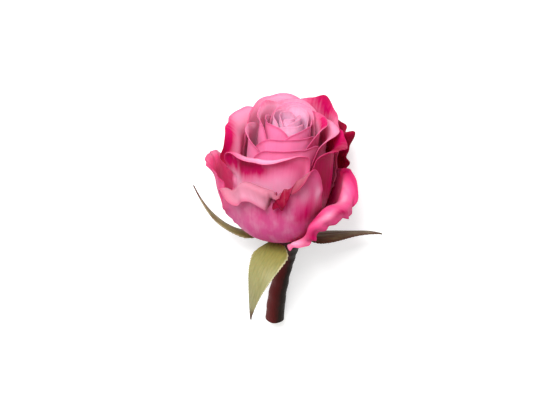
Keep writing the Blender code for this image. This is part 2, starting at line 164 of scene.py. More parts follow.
# Patches of another tint on a petal: pale, hot (vivid dark pink) or dark red (crimson).
# On several petals the hot and dark red patches are painted shade, and some pale ones are
# painted highlights, as noted at each petal.  Each has its tint, the skin it is on, its bearing
# on the outline, its share of the way out, its spread in degrees and in share, and its strength.
STAINS = {
    # the hot patch below the tear is partly a painted shadow of the torn notch, the pale patches at 38 and 50
    # degrees are a painted highlight on the lit right shoulder, and the dark red at 68 degrees is painted
    # shade in the gap beside the next petal
    "outer_petal_1": (
        ("hot", "back", 17, 0.46, 9, 0.13, 0.9), ("pale", "back", 38, 0.68, 8, 0.09, 0.5),
        ("hot", "back", 58, 0.62, 14, 0.18, 0.9), ("pale", "back", 50, 0.90, 8, 0.07, 0.6),
        ("deep", "back", 68, 0.90, 10, 0.20, 0.6), ("pale", "back", -60, 0.70, 22, 0.30, 0.3),
        ("pale", "face", -16, 0.95, 20, 0.10, 0.4)),
    # the dark red low on the face is painted shade inside the roll, and the pale patches at 14, -6 and -40
    # degrees are painted highlights along the roll
    "outer_petal_2": (
        ("deep", "face", 0, 0.30, 80, 0.16, 1.0), ("hot", "face", 62, 0.60, 20, 0.30, 1.0),
        ("hot", "face", 24, 0.92, 16, 0.08, 0.8), ("hot", "face", -28, 0.84, 8, 0.06, 0.9),
        ("hot", "face", -50, 0.74, 14, 0.05, 0.7), ("hot", "face", -66, 0.92, 12, 0.10, 0.9),
        ("pale", "face", 14, 0.72, 12, 0.05, 0.4), ("pale", "face", -6, 0.66, 14, 0.05, 0.8),
        ("pale", "face", -40, 0.80, 8, 0.05, 0.8), ("pale", "face", -90, 0.88, 14, 0.10, 0.8)),
    "outer_petal_3": (
        ("pale", "face", -60, 0.99, 60, 0.07, 1.0), ("hot", "face", 10, 0.50, 60, 0.16, 0.6)),
    # this petal's hot and dark red all over is partly its own dark colour and partly painted shade on the
    # shaded right of the bloom
    "outer_petal_4": (
        ("hot", "both", -20, 0.70, 120, 0.60, 1.0), ("deep", "both", -20, 0.90, 90, 0.50, 1.0)),
    # the hot and dark red band under the rolled rim on the back is partly the petal's flush and partly
    # painted shade below the rim
    "middle_petal_1": (
        ("hot", "face", -44, 0.92, 22, 0.24, 1.0), ("hot", "back", -38, 0.93, 8, 0.10, 1.2),
        ("deep", "back", -28, 0.71, 15, 0.07, 0.8), ("hot", "back", -28, 0.68, 12, 0.14, 1.5),
        ("hot", "back", -14, 0.68, 14, 0.11, 1.3), ("hot", "back", 12, 0.80, 22, 0.07, 0.5),
        ("hot", "back", -39, 0.82, 6, 0.07, 1.3),
        ("pale", "back", -52, 0.64, 12, 0.34, 1.2), ("pale", "back", 5, 0.42, 40, 0.16, 0.6),
        ("pale", "face", 4, 0.95, 22, 0.14, 0.8)),
    # the dark red patches at -26 degrees on the back and at -6 on the face are painted shade between the
    # petals on the right
    "middle_petal_2": (
        ("hot", "back", 0, 0.60, 60, 0.80, 1.3), ("deep", "back", -26, 0.60, 26, 0.50, 0.7),
        ("hot", "face", 20, 0.85, 70, 0.40, 1.0), ("deep", "face", -6, 0.96, 14, 0.14, 0.8),
        ("pale", "back", -76, 0.60, 12, 0.40, 0.6)),
    # the pale patch on the face is painted light that brightens a face turned away from the window, and the
    # dark red at the rim corner is partly painted shade
    "middle_petal_3": (
        ("hot", "face", 27, 0.99, 20, 0.14, 1.3), ("deep", "face", 36, 1.00, 16, 0.10, 0.9),
        ("hot", "face", 75, 0.85, 26, 0.30, 0.6), ("pale", "face", 6, 0.78, 26, 0.12, 1.0)),
    # the hot and dark red patches at 50 and 62 degrees are partly painted shade on the shaded right of the
    # bloom
    "middle_petal_4": (
        ("hot", "both", -8, 0.95, 18, 0.30, 1.0), ("deep", "both", -6, 1.00, 8, 0.10, 0.5),
        ("hot", "both", 50, 0.85, 25, 0.40, 1.0), ("deep", "both", 62, 0.85, 18, 0.40, 0.9)),
    "middle_petal_5": (("pale", "face", 0, 0.85, 40, 0.20, 0.6),),
    "inner_petal_1": (
        ("hot", "face", 50, 0.95, 20, 0.14, 0.9), ("hot", "back", 40, 0.80, 16, 0.20, 0.7)),
    "inner_petal_2": (
        ("hot", "both", -50, 0.85, 30, 0.34, 1.0), ("hot", "face", 0, 0.72, 40, 0.16, 0.9)),
    "inner_petal_4": (("pale", "face", 0, 0.90, 60, 0.30, 0.8),),
    "inner_petal_6": (
        ("hot", "face", 30, 0.92, 30, 0.20, 0.8), ("hot", "face", -4, 0.95, 14, 0.10, 1.2),
        ("hot", "back", -40, 0.80, 24, 0.24, 0.9)),
    "inner_petal_7": (
        ("pale", "face", 0, 0.90, 60, 0.30, 0.8), ("hot", "face", -5, 0.98, 10, 0.08, 0.5)),
}
# how much each rim is frilled: most of them a little, some more
PLAIN_FRILL = 0.4
RIM_FRILLS = {
    "outer_petal_2": 1.4, "outer_petal_3": 0.9, "outer_petal_4": 2.2, "middle_petal_1": 0.6,
    "middle_petal_2": 1.1, "middle_petal_3": 0.9, "middle_petal_4": 0.8}
# a dried tip that stands off a rim: bearing, length, half width
DRY_TIPS = {"outer_petal_4": (-36, 8.0, 3.0)}
# tears in a rim: bearing, depth, half width
TEARS = {"outer_petal_1": (10, 6.0, 7.5)}

# name, bearing, drift of the bearing towards the tip, twist at base and tip, full width,
# cupping, then four (reach, height) control points of the midrib
SEPALS = (
    ("front_sepal", -20, -6, 0, 25, 16.0, 1.5, ((7.9, -2.2), (20.0, -2.0), (30.0, -5.0), (29.5, -26.0))),
    ("left_sepal", -96, -16, 15, 40, 11.5, 1.2, ((7.9, -2.2), (20.0, -6.0), (31.0, -1.0), (39.5, 11.0))),
    ("right_sepal", 84, 8, -10, -20, 12.0, 1.2, ((7.9, -2.2), (19.0, -4.0), (30.0, 1.0), (40.5, -4.0))),
    ("back_sepal_1", 150, 8, 0, 0, 9.0, 1.0, ((7.9, -2.2), (14.5, -4.0), (15.0, -11.0), (10.0, -22.0))),
    ("back_sepal_2", -152, -8, 0, 0, 9.0, 1.0, ((7.9, -2.2), (14.5, -4.0), (15.0, -11.0), (10.0, -22.0))),
)
# how far each sepal has dried to red brown
SEPAL_DRYNESS = {
    "front_sepal": 0.0, "left_sepal": 0.5, "right_sepal": 0.8, "back_sepal_1": 0.4, "back_sepal_2": 0.3}


# ---- settings a user would change ----

class ROSE_PG_shape(bpy.types.PropertyGroup):
    bloom_height: bpy.props.FloatProperty(
        name="Bloom height", description="Petal seat to the back petal tips",
        default=50.0 * MM, min=20.0 * MM, max=120.0 * MM, subtype="DISTANCE", unit="LENGTH")
    belly_height: bpy.props.FloatProperty(
        name="Belly height", description="Height of the widest part of the bloom",
        default=27.0 * MM, min=10.0 * MM, max=60.0 * MM, subtype="DISTANCE", unit="LENGTH")
    petal_thickness: bpy.props.FloatProperty(
        name="Petal thickness", description="Thickness of a petal",
        default=0.32 * MM, min=0.1 * MM, max=1.0 * MM, precision=5, subtype="DISTANCE", unit="LENGTH")
    sepal_thickness: bpy.props.FloatProperty(
        name="Sepal thickness", description="Thickness of a sepal",
        default=0.55 * MM, min=0.2 * MM, max=1.5 * MM, precision=5, subtype="DISTANCE", unit="LENGTH")
    ripple: bpy.props.FloatProperty(
        name="Ripple", description="Depth of the soft waves in a petal",
        default=0.35 * MM, min=0.0, max=2.0 * MM, precision=5, subtype="DISTANCE", unit="LENGTH")
    detail: bpy.props.IntProperty(
        name="Detail", description="Cells across a petal; outer ones get more and inner ones fewer",
        default=48, min=16, max=80)


class ROSE_PG_colours(bpy.types.PropertyGroup):
    outer_low: bpy.props.StringProperty(
        name="Outer petal, low", description="Purple pink near the hip, sRGB hex", default="#E0589A")
    outer_high: bpy.props.StringProperty(
        name="Outer petal, high", description="Pink below the fold, sRGB hex", default="#E0558C")
    lip: bpy.props.StringProperty(
        name="Rolled lip", description="Dusty pink of the turned-over inside, sRGB hex", default="#CC7E95")
    # the pale pink of clouds in the petals, also painted on as highlights where folds and edges catch the
    # light; the pale on folds is painted highlight, not wear
    petal_pale_and_highlight: bpy.props.StringProperty(
        name="Petal pale", description="Pale pink of clouds and worn folds, sRGB hex", default="#F0AECB")
    flush: bpy.props.StringProperty(
        name="Flush", description="Deep pink of corners and rims, sRGB hex", default="#C90560")
    # crimson is the dark red of torn and dried rims and crimson margins, and is also painted shade where rims
    # and gaps lie in shadow
    crimson_and_shade: bpy.props.StringProperty(
        name="Crimson", description="Dark red of torn and shaded rims, sRGB hex", default="#960432")
    heart: bpy.props.StringProperty(
        name="Heart", description="Palest pink of the innermost petals, sRGB hex", default="#F0BEDA")
    sepal_green: bpy.props.StringProperty(
        name="Sepal green", description="Yellow green of the sepals, sRGB hex", default="#827F36")
    sepal_brown: bpy.props.StringProperty(
        name="Sepal brown", description="Dry brown edges of the sepals, sRGB hex", default="#4A2010")
    stem_red: bpy.props.StringProperty(
        name="Stem red", description="Reddish brown of one flank, sRGB hex", default="#651A1B")
    # the other flank's colour is near black: painted shade on the side of the stem away from the window
    stem_green_shade: bpy.props.StringProperty(
        name="Stem green", description="Dark green brown of the other flank, sRGB hex", default="#1A0E06")


# ---- helpers ----

def linear(hex_colour):
    """sRGB hex to a linear RGBA colour."""
    parts = [int(hex_colour[i:i + 2], 16) / 255.0 for i in (1, 3, 5)]
    return tuple(p / 12.92 if p <= 0.04045 else ((p + 0.055) / 1.055) ** 2.4 for p in parts) + (1.0,)


def add_node(tree, kind, settings=None, inputs=None):
    """Add a node, set its attributes and inputs; an input that is a socket is linked."""
    node = tree.nodes.new(kind)
    for name, value in (settings or {}).items():
        setattr(node, name, value)
    for name, value in (inputs or {}).items():
        if isinstance(value, bpy.types.NodeSocket):
            tree.links.new(value, node.inputs[name])
        else:
            node.inputs[name].default_value = value
    return node


def new_material(name):
    """A material with an empty node tree."""
    material = bpy.data.materials.new(name)
    material.use_nodes = True
    material.node_tree.nodes.clear()
    return material


def lying(points):
    """Turn upright points (mm) into the lying pose, before it is moved to the frame's place."""
    points = np.asarray(points, float)
    roll, tilt = math.radians(LIE_ROLL), math.radians(LIE_TILT)
    x = points[..., 0] * math.cos(roll) - points[..., 1] * math.sin(roll)
    y = points[..., 0] * math.sin(roll) + points[..., 1] * math.cos(roll)
    z = points[..., 2]
    return np.stack([x, y * math.sin(tilt) + z * math.cos(tilt), z * math.sin(tilt) - y * math.cos(tilt)], -1)


def section_ring(section):
    """Lying ring of points (mm) round one stem section."""
    z, x, r = section
    turns = np.arange(16) * 2.0 * math.pi / 16.0
    return lying(np.stack([x + r * np.cos(turns), r * np.sin(turns), np.full(16, z)], -1))


def frame_offset():
    """Shift (mm) that puts the lying flower where the frame's stem is."""
    low, high = np.array(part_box("stem")) / MM
    cut_end = section_ring(STEM_SECTIONS[0])
    across = np.concatenate([section_ring(section)[:, 0] for section in STEM_SECTIONS])
    return np.array([(low[0] + high[0] - across.min() - across.max()) / 2.0,
                     low[1] - cut_end[:, 1].min(), low[2] - cut_end[:, 2].min()])


OFFSET = frame_offset()


def to_world(points):
    """Upright millimetres to the frame's metres."""
    return (lying(points) + OFFSET) * MM


def world_direction(vector):
    """Direction in the frame of a direction on the upright flower."""
    return Vector(lying(vector))


def eased(x, stops, values):
    """Smooth steps between the stated values."""
    stops = np.asarray(stops, float)
    values = np.asarray(values, float)
    x = np.clip(x, stops[0], stops[-1])
    i = np.clip(np.searchsorted(stops, x, side="right") - 1, 0, len(stops) - 2)
    t = (x - stops[i]) / (stops[i + 1] - stops[i])
    t = t * t * (3.0 - 2.0 * t)
    return values[i] * (1.0 - t) + values[i + 1] * t


def smooth_step(low, high, x):
    """0 up to low, 1 from high on, and a smooth rise between."""
    t = np.clip((x - low) / (high - low), 0.0, 1.0)
    return t * t * (3.0 - 2.0 * t)


def bell(x, middle, spread):
    """A smooth hump, 1 at its middle."""
    return np.exp(-((x - middle) / spread) ** 2)


def unit(vectors):
    """The vectors at length 1."""
    return vectors / (np.linalg.norm(vectors, axis=-1, keepdims=True) + 1e-12)


# ---- the shape of a petal (mm) ----

def seat_of(shell):
    """Seat radius and seat height of the petal wall with this radius."""
    share = min(max((shell - SHELL_INNER) / (SHELL_OUTER - SHELL_INNER), 0.0), 1.0)
    return SEAT_INNER + (SEAT_OUTER - SEAT_INNER) * share, SEAT_DOME * (1.0 - share ** 2)


def wall_profile(shell, bloom, belly):
    """Length, radius and height along a petal wall, from its seat upwards."""
    seat, foot = seat_of(shell)
    height = foot + 1.5 * bloom * np.linspace(0.0, 1.0, 240) ** 1.6
    # a round bowl up to the belly, then a slight lean inwards
    below = 1.0 - np.clip((height - foot) / (belly - foot), 0.0, 1.0)
    bowl = (1.0 - below ** 2.2) ** 0.55
    above = np.clip((height - belly) / (bloom - belly), 0.0, 1.5)
    radius = seat + (shell - seat) * bowl * (1.0 - 0.05 * above ** 1.5)
    steps = np.hypot(np.diff(radius), np.diff(height))
    return np.concatenate([[0.0], np.cumsum(steps)]), radius, height


def round_blade(x, y):
    """Bearing from the tip (radians) and share of the way out, of places on a square grid."""
    disc_x = x * np.sqrt(1.0 - y * y / 2.0)
    disc_y = y * np.sqrt(1.0 - x * x / 2.0)
    return np.arctan2(disc_x, disc_y), np.hypot(disc_x, disc_y)


def petal_outline(w, half, low, high, square, bumps, ruffle, seed):
    """Distance from the blade centre to its outline at bearing w."""
    side = np.abs(np.sin(w)) + 1e-9
    up = ((side / half) ** square + (np.maximum(np.cos(w), 0.0) / high) ** square) ** (-1.0 / square)
    # the lower half narrows to a claw
    claw = 1.3
    down = ((side / half) ** claw + (np.maximum(-np.cos(w), 0.0) / low) ** claw) ** (-1.0 / claw)
    reach = np.where(np.cos(w) >= 0.0, up, down)
    degrees = np.degrees(w)
    for at, size, width in bumps:
        reach = reach + size * bell(degrees, at, width)
    # uneven ruffles round the tip, none at the claw
    phases = np.random.default_rng(seed).uniform(0.0, 2.0 * math.pi, 3)
    fade = np.clip(np.cos(w) * 1.5 + 0.6, 0.0, 1.0)
    for k, waves in enumerate((5, 9, 16)):
        reach = reach + fade * ruffle * 0.6 ** k * np.sin(waves * w + phases[k])
    return reach


def rim_shape(name, degrees, reach, widths, curls):
    """Reach of the outline, and width and curl of the rolled rim, with a tear or a dried tip."""
    curl = np.radians(eased(degrees, RIM_BEARINGS, curls))
    width = eased(degrees, RIM_BEARINGS, widths)
    width = width * np.clip(1.0 - (np.abs(degrees) - FOLD_END) / FOLD_FADE, 0.02, 1.0)
    if name in TEARS:
        at, depth, spread = TEARS[name]
        tear = depth * bell(degrees, at, spread)
        reach = reach - tear * (1.0 + 0.5 * np.sin(degrees * 1.3))
        width = width - tear * 0.5
        # the corners on both sides of the tear roll further
        curl = curl + math.radians(110.0) * bell(np.abs(degrees - at), spread, 3.5)
    if name in DRY_TIPS:
        at, length, spread = DRY_TIPS[name]
        reach = reach + length * bell(degrees, at, spread)
    return reach, width, curl


def rolled_sheet(on_wall, w, distance, reach, width, curl, fold):
    """Points and outward directions of a sheet on its wall whose rim rolls away from it."""
    start = np.maximum(reach - width, 0.05 * reach)
    inside = np.minimum(distance, start)
    side, up = np.sin(w), np.cos(w)
    a, b = inside * side, inside * up
    inner, outer = start - NUDGE, start + NUDGE
    out = unit(on_wall(outer * side, outer * up) - on_wall(inner * side, inner * up))
    across = on_wall(a + NUDGE, b) - on_wall(a - NUDGE, b)
    upward = on_wall(a, b + NUDGE) - on_wall(a, b - NUDGE)
    normal = unit(np.cross(across, upward))
    over = np.maximum(distance - start, 0.0)
    share = over / np.maximum(reach - start, 1e-6)
    # beyond its wall the sheet goes on in short steps, each turned further by the curl
    points = on_wall(a, b)
    for step in range(FOLD_STEPS):
        angle = curl * np.minimum((step + 0.5) / FOLD_STEPS * share / fold, 1.0) ** 1.3
        way = np.cos(angle)[..., None] * out + np.sin(angle)[..., None] * normal
        points = points + way * (over / FOLD_STEPS)[..., None]
    return points, normal


def wave_height(name, seed, w, share_out, a, b, shell):
    """Soft waves that grow towards the rim and the frill of the rim, as shares of the ripple."""
    phase = np.random.default_rng(seed + 100).uniform(0.0, 2.0 * math.pi, 6)
    # three crossing waves, 18 to 32 mm long, flatter on the small petals
    wave = (np.sin(a / 5.1 + b / 19.0 + phase[0]) + 0.7 * np.sin(a / 2.9 - b / 13.0 + phase[1])
            + 0.5 * np.sin(b / 4.3 + a / 11.0 + phase[2]))
    swell = 0.5 * smooth_step(0.25, 1.0, share_out) * min(1.0, shell / 18.0)
    # 23 and 37 small waves all round the petal
    frill = np.sin(w * 23.0 + phase[3]) + 0.6 * np.sin(w * 37.0 + phase[4])
    edge = smooth_step(0.75, 1.0, share_out) * RIM_FRILLS.get(name, PLAIN_FRILL)
    return wave * swell + frill * edge


def dryness(spots, name, degrees, share_out, widen, low, high):
    """How dry each place is beside a tear or on a dried tip, from 0 to 1.

    It spreads to widen times the spot's half width, and sets in from low to high of the way out.
    """
    if name not in spots:
        return np.zeros_like(share_out)
    at, _, spread = spots[name]
    return bell(degrees, at, widen * spread) * smooth_step(low, high, share_out)


def crumpled(points, normal, degrees, share_out, dry):
    """The points with small sharp folds where the petal is dry."""
    folds = np.stack([np.sin(degrees * 0.62 + share_out * 20.0), np.cos(degrees * 0.5 - share_out * 24.0),
                      np.sin(degrees * 0.8 + share_out * 22.0) - 0.6], -1)
    return points + (normal * 0.9 + folds) * (dry * 1.3)[..., None]


def tint_values(name, degrees, share_out, along, dry):
    """Strength of each tint at each place, by the name that the materials read."""
    values = {"along": along,
              "blush": smooth_step(0.45, 0.9, share_out) * smooth_step(0.4, 0.75, along),
              "rim": smooth_step(0.93, 1.0, share_out) * smooth_step(0.35, 0.6, along)}
    for skin in ("face", "back"):
        values["pale_" + skin] = np.zeros_like(share_out)
        values["hot_" + skin] = np.zeros_like(share_out)
        values["deep_" + skin] = dry
    for tint, side, at, place, swing, spread, strength in STAINS.get(name, ()):
        mask = strength * bell(degrees, at, swing) * bell(share_out, place, spread)
        for skin in ("face", "back") if side == "both" else (side,):
            values[tint + "_" + skin] = np.maximum(values[tint + "_" + skin], mask)
    return values


def petal_points(petal, seed, x, y, shape):
    """Surface point, blade place (mm) and tint values of each grid place (x, y in -1..1)."""
    name, turn, shell, rise, wrap, widths, curls, spiral, square, bumps, ruffle = petal
    bloom = shape.bloom_height / MM
    length, radius, height = wall_profile(shell, bloom, shape.belly_height / MM)
    crest = np.interp(rise, height, length)
    low = BLADE_CENTRE * crest
    high = crest + widths[3] - low
    half = math.radians(wrap) * shell

    def on_wall(a, b):
        """Point of the wall, a across it and b up along it from the blade's centre."""
        r = np.interp(low + b, length, radius)
        z = np.interp(low + b, length, height)
        swing = a / np.maximum(r, 1.0)
        r = r + spiral * swing * np.clip(z, 0.3, 1.0)
        t = swing + math.radians(turn)
        bend = (z / bloom) ** 2
        return np.stack([r * np.sin(t) + SIDE_BEND * bend, BACK_BEND * bend - r * np.cos(t), z], -1)

    w, share_out = round_blade(x, y)
    degrees = np.degrees(w)
    reach = petal_outline(w, half, low, high, square, bumps, ruffle, seed)
    reach, width, curl = rim_shape(name, degrees, reach, widths, curls)
    distance = share_out * reach
    points, normal = rolled_sheet(on_wall, w, distance, reach, width, curl, FOLD_SHARE.get(name, 1.0))
    a, b = distance * np.sin(w), low + distance * np.cos(w)
    waves = wave_height(name, seed, w, share_out, a, b, shell) * (shape.ripple / MM)
    torn = dryness(TEARS, name, degrees, share_out, 1.6, 0.68, 0.84)
    tip = dryness(DRY_TIPS, name, degrees, share_out, 1.0, 0.85, 0.95)
    points = crumpled(points + normal * waves[..., None], normal, degrees, share_out, torn)
    values = tint_values(name, degrees, share_out, b / (low + high), np.maximum(torn, tip))
    return points, np.stack([a, b], -1), values


# ---- the shape of a sepal (mm) ----

def sepal_points(sepal, seed, q, s):
    """Surface point and half width of each place, q across the sepal (-1..1) and s along it (0..1)."""
    _, turn, drift, twist_base, twist_tip, width, cup, controls = sepal

    def midrib(t):
        """Point of the midrib at share t of its length."""
        weights = np.stack([(1 - t) ** 3, 3 * t * (1 - t) ** 2, 3 * t * t * (1 - t), t ** 3], -1)
        place = weights @ np.array(controls)
        bearing = np.radians(turn + drift * t)
        return np.stack([place[:, 0] * np.sin(bearing), -place[:, 0] * np.cos(bearing), place[:, 1]], -1)

    along = unit(midrib(np.minimum(s + 0.01, 1.0)) - midrib(np.maximum(s - 0.01, 0.0)))
    bearing = np.radians(turn + drift * s)
    sideways = np.stack([np.cos(bearing), np.sin(bearing), np.zeros_like(s)], -1)
    sideways = unit(sideways - along * np.sum(sideways * along, axis=1, keepdims=True))
    twist = np.radians(twist_base + (twist_tip - twist_base) * s)[:, None]
    across = np.cos(twist) * sideways + np.sin(twist) * np.cross(along, sideways)
    lift = np.cross(along, across)
    # full width a quarter of the way up, then a long taper to a thin tip
    half = 0.5 * width * (0.45 + 0.55 * np.sin(np.pi * np.minimum(s / 0.5, 0.5))) * (1.0 - s ** 1.9)
    half = np.maximum(half, 0.25)
    phase = np.random.default_rng(60 + seed).uniform(0.0, 6.28, 4)
    # small uneven teeth along both edges, finer towards the tip
    teeth = (s * 24.0 + 1.5 * np.sin(s * 7.0 + phase[0]) + np.sign(q) * 0.3) % 1.0
    half = half + 0.55 * teeth * np.abs(q) ** 8 * np.minimum(1.0, 6.0 * s) * (1.2 - s)
    # the blade is cupped, with a thin keel under it and a slow wave along it
    fullness = half / (0.5 * width)
    sag = cup * q * q * fullness
    keel = 0.25 * bell(q, 0.0, 0.08) * (1.0 - s)
    wave = 0.35 * np.sin(s * 9.0 + phase[1]) * q * fullness
    return midrib(s) + across * (q * half)[:, None] + lift * (wave - sag - keel)[:, None], half


# ---- meshes ----

def deselect():
    """Leave edit mode and select nothing."""
    if bpy.context.object and bpy.context.object.mode != "OBJECT":
        bpy.ops.object.mode_set(mode="OBJECT")
    bpy.ops.object.select_all(action="DESELECT")


def add_grid(name, cells_x, cells_y):
    """A fresh grid over -1..1, with its vertex places."""
    deselect()
    bpy.ops.mesh.primitive_grid_add(x_subdivisions=cells_x, y_subdivisions=cells_y, size=2.0)
    piece = bpy.context.object
    piece.name = name
    piece.data.name = name
    places = np.zeros(len(piece.data.vertices) * 3)
    piece.data.vertices.foreach_get("co", places)
    return piece, places.reshape(-1, 3)


def store_values(mesh, values):
    """Keep named values on the vertices, for the materials."""
    for name, value in values.items():
        attribute = mesh.attributes.new(name, "FLOAT", "POINT")
        attribute.data.foreach_set("value", value.astype(np.float32))
    mesh.update()


def set_shape(piece, points, blade, values):
    """Move the grid's vertices and store the blade map (mm) and named values."""
    mesh = piece.data
    mesh.vertices.foreach_set("co", to_world(points).ravel())
    corner = np.zeros(len(mesh.loops), dtype=np.int64)
    mesh.loops.foreach_get("vertex_index", corner)
    layer = mesh.uv_layers[0]
    layer.name = "blade"
    layer.data.foreach_set("uv", (blade[corner] / MAP_MM).ravel())
    store_values(mesh, values)


def join_frame(piece, node):
    """Let a piece ride with the flower in the place of its node."""
    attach(piece, "root")
    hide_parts(node)


def finish_blade(piece, thickness, materials, node):
    """Thicken and smooth a bent sheet; a second material goes on its other skin."""
    for material in materials:
        piece.data.materials.append(material)
    thick = piece.modifiers.new("thickness", "SOLIDIFY")
    thick.thickness = thickness
    thick.offset = 0.0
    thick.material_offset = len(materials) - 1
    smooth = piece.modifiers.new("smooth", "SUBSURF")
    smooth.levels = smooth.render_levels = 1
    for modifier in list(piece.modifiers):
        bpy.ops.object.modifier_apply(modifier=modifier.name)
    bpy.ops.object.shade_smooth()
    join_frame(piece, node)


def make_petal(petal, seed, cells, materials, shape):
    """One petal from a flat grid: bent to its place, thickened and smoothed."""
    piece, places = add_grid("velvet_" + petal[0], cells, cells)
    # the cells get smaller towards the rim, where it curls
    t = np.clip(places[:, :2], -1.0, 1.0)
    t = np.sign(t) * (1.0 - (1.0 - np.abs(t)) ** 1.25)
    points, blade, values = petal_points(petal, seed, t[:, 0], t[:, 1], shape)
    set_shape(piece, points, blade, values)
    finish_blade(piece, shape.petal_thickness, materials, petal[0])


def make_sepal(sepal, seed, material, shape):
    """One sepal from a flat grid: bent to its place, thickened and smoothed."""
    piece, places = add_grid("leafy_" + sepal[0], 20, 120)
    q, s = places[:, 0], (places[:, 1] + 1.0) / 2.0
    points, half = sepal_points(sepal, seed, q, s)
    dry = np.full_like(s, SEPAL_DRYNESS[sepal[0]])
    set_shape(piece, points, np.stack([q * half, s * SEPAL_LENGTH], -1), {
        "across": np.abs(q), "along": s, "dry": dry})
    finish_blade(piece, shape.sepal_thickness, (material,), sepal[0])


def stem_rings():
    """Height, centre x and radius (mm) of each ring, from the cut end to the top of the hip."""
    heights, centres, radii = np.array(STEM_SECTIONS).T
    steps = np.concatenate([[CUT_HEIGHT, CUT_HEIGHT + 0.15, CUT_HEIGHT + 0.5],
                            np.linspace(CUT_HEIGHT + 1.0, HIP_TOP, 44)])
    rings = [(z, float(eased(z, heights, centres)), float(eased(z, heights, radii))) for z in steps]
    # the rim of the cut is a little rounded
    z, x, r = rings[0]
    rings[0] = (z, x, r - CUT_ROUNDING)
    for shell in DOME_SHELLS:
        seat, foot = seat_of(shell)
        rings.append((foot - SEAT_GAP, 0.0, seat + 0.05))
    rings.append((seat_of(DOME_TOP_SHELL)[1] - SEAT_GAP, 0.0, DOME_TOP_RADIUS))
    return rings


def extrude_rings(name, rings):
    """A closed round solid through the rings, standing up, in metres."""
    deselect()
    z, x, r = rings[0]
    bpy.ops.mesh.primitive_circle_add(vertices=40, radius=r * MM, fill_type="NGON",
                                      location=(x * MM, 0.0, z * MM))
    piece = bpy.context.object
    piece.name = name
    bpy.ops.object.mode_set(mode="EDIT")
    for (z0, x0, r0), (z1, x1, r1) in zip(rings, rings[1:]):
        bpy.ops.mesh.extrude_region_move(
            TRANSFORM_OT_translate={"value": ((x1 - x0) * MM, 0.0, (z1 - z0) * MM)})
        bpy.ops.transform.resize(value=(r1 / r0, r1 / r0, 1.0), center_override=(x1 * MM, 0.0, z1 * MM))
    bpy.ops.mesh.select_all(action="SELECT")
    bpy.ops.mesh.normals_make_consistent(inside=False)
    bpy.ops.object.mode_set(mode="OBJECT")
    bpy.ops.object.transform_apply(location=True, rotation=True, scale=True)
    return piece


def roughen_bark(piece):
    """Give the standing stem its ridges and values, and lay it down."""
    heights, centres, _ = np.array(STEM_SECTIONS).T
    mesh = piece.data
    places = np.zeros(len(mesh.vertices) * 3)
    mesh.vertices.foreach_get("co", places)
    places = places.reshape(-1, 3) / MM
    bearing = np.arctan2(places[:, 1], places[:, 0] - eased(places[:, 2], heights, centres))
    # shallow lengthwise ridges and a gentle unevenness, which end below the petals
    ridges = RIDGE_DEPTH * np.sin(bearing * 5.0 + places[:, 2] * 0.05)
    uneven = UNEVEN_DEPTH * np.sin(places[:, 2] * 0.6 + bearing * 2.0)
    relief = (ridges + uneven) * (places[:, 2] < RELIEF_TOP)
    places[:, 0] += relief * np.cos(bearing)
    places[:, 1] += relief * np.sin(bearing)
    mesh.vertices.foreach_set("co", to_world(places).ravel())
    # flank is 1 on the side away from the window, where the stem's near-black colour is painted shade
    store_values(mesh, {"flank": smooth_step(-0.6, 0.9, np.cos(bearing)),
                        "cut": (places[:, 2] < CUT_HEIGHT + 0.05) * 1.0})


# ---- materials ----

